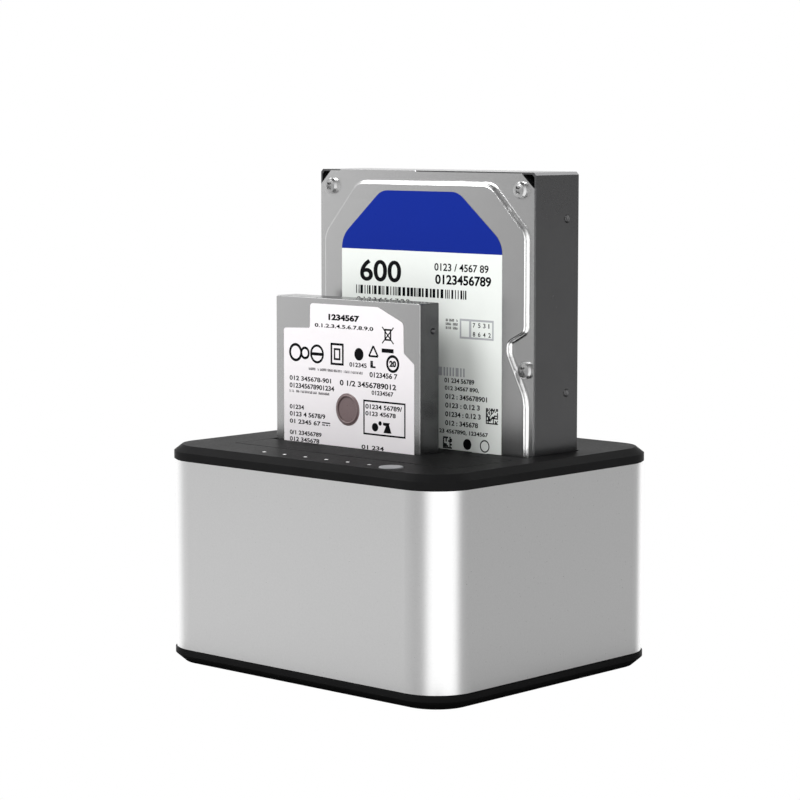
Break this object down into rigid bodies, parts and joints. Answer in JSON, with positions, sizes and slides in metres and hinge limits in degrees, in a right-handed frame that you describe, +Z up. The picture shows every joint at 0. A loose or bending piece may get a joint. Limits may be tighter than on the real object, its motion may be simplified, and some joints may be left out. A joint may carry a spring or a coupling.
{
  "type": "drive duplicator dock",
  "caption": "Two-bay drive duplicator dock with an aluminium sleeve, black lid and base, sprung bay doors, and one large and one small disk drive standing in it.",
  "frame": {"origin": "on the table, under the middle of the housing: the bottom of the rubber feet is z = 0", "axes": "+X to the right along the front face, +Y to the rear panel, +Z up"},
  "size_m": [0.1356, 0.1176, 0.1755],
  "materials": {
    "blasted_aluminium": "bead-blasted and clear anodised, with bright cut edges",
    "black_abs": "fine spark-eroded texture, satin",
    "foot_rubber": "matt",
    "black_steel": "black oxide",
    "zinc_steel": "bright zinc plate",
    "spring_steel": "oiled spring wire",
    "circuit_board": "green solder mask",
    "connector_black": "moulded",
    "contact_gold": "gold flash",
    "chip_epoxy": "moulded epoxy",
    "can_aluminium": "bright",
    "button_grey": "satin silver grey",
    "tinned_steel": "tinned, bright",
    "light_clear": "clear acrylic, seen as white",
    "header_white": "moulded nylon",
    "cable_grey": "vinyl ribbon",
    "port_blue": "moulded",
    "rocker_black": "gloss",
    "drive_dark_paint": "dark grey coating on cast aluminium",
    "small_drive_paint": "dark grey coating on cast aluminium",
    "drive_cover_metal": "satin stamped sheet",
    "drive_screw_steel": "bright",
    "label_blue": "printed blue",
    "label_white": "printed film",
    "label_pearl": "printed film",
    "seal_bronze": "brown foil seal",
    "drive_board": "dark green solder mask"
  },
  "bodies": {
    "housing": {"base": "black_abs", "bay_frame": "black_abs", "bay_frame_screws": "zinc_steel", "board_chips": "chip_epoxy", "cable_headers": "header_white", "capacitors": "can_aluminium", "case_screws": "black_steel", "crystal": "can_aluminium", "data_port": "tinned_steel", "data_port_tongue": "port_blue", "door_pins": "zinc_steel", "front_socket": "connector_black", "indicator_board": "circuit_board", "indicator_board_screws": "zinc_steel", "indicator_cable": "cable_grey", "indicator_chips": "light_clear", "inductors": "chip_epoxy", "lid": "black_abs", "light_pipes": "light_clear", "main_board": "circuit_board", "main_board_screws": "zinc_steel", "power_jack": "connector_black", "power_jack_pin": "tinned_steel", "push_switch": "tinned_steel", "rear_panel": "black_abs", "rear_socket": "connector_black", "rocker_housing": "rocker_black", "rocker_terminals": "tinned_steel", "rubber_feet": "foot_rubber", "shell": "blasted_aluminium", "socket_contacts": "contact_gold"},
    "large_drive": {"large_drive_board": "drive_board", "large_drive_board_screws": "drive_screw_steel", "large_drive_casting": "drive_dark_paint", "large_drive_cover": "drive_cover_metal", "large_drive_hub": "can_aluminium", "large_drive_label_body": "label_white", "large_drive_label_head": "label_blue", "large_drive_plug": "connector_black", "large_drive_screws": "drive_screw_steel"},
    "small_drive": {"small_drive_board": "drive_board", "small_drive_board_screws": "drive_screw_steel", "small_drive_casting": "small_drive_paint", "small_drive_cover": "drive_cover_metal", "small_drive_hub_seal": "seal_bronze", "small_drive_label": "label_pearl", "small_drive_plug": "connector_black", "small_drive_spindle": "can_aluminium"},
    "front_door": {"front_door": "black_abs", "front_door_spring": "spring_steel"},
    "rear_door": {"rear_door": "black_abs", "rear_door_spring": "spring_steel"},
    "clone_button": {"clone_button": "button_grey", "switch_plunger": "connector_black"},
    "power_rocker": {"power_rocker": "rocker_black"}
  },
  "joints": [
    {"name": "large_drive_slide", "type": "slide", "parent": "housing", "child": "large_drive", "axis": [0, 0, 1], "range_m": [0, 0.06]},
    {"name": "small_drive_slide", "type": "slide", "parent": "housing", "child": "small_drive", "axis": [0, 0, 1], "range_m": [0, 0.06]},
    {"name": "front_door_hinge", "type": "hinge", "parent": "housing", "child": "front_door", "pos_m": [0, -0.03735, 0.0778], "axis": [-1, 0, 0], "range_deg": [0, 88], "stiffness_Nm_per_rad": 0.004, "springref_deg": -22.92},
    {"name": "rear_door_hinge", "type": "hinge", "parent": "housing", "child": "rear_door", "pos_m": [0, -0.00069, 0.0778], "axis": [-1, 0, 0], "range_deg": [0, 3.4], "stiffness_Nm_per_rad": 0.004, "springref_deg": -110.58},
    {"name": "clone_button_press", "type": "slide", "parent": "housing", "child": "clone_button", "axis": [0, 0, -1], "range_m": [0, 0.0005], "stiffness_N_per_m": 2000, "springref_m": -0.0002},
    {"name": "power_rocker_tilt", "type": "hinge", "parent": "housing", "child": "power_rocker", "pos_m": [0.025, 0.0544, 0.0293], "axis": [0, 0, -1], "range_deg": [0, 16]}
  ]
}
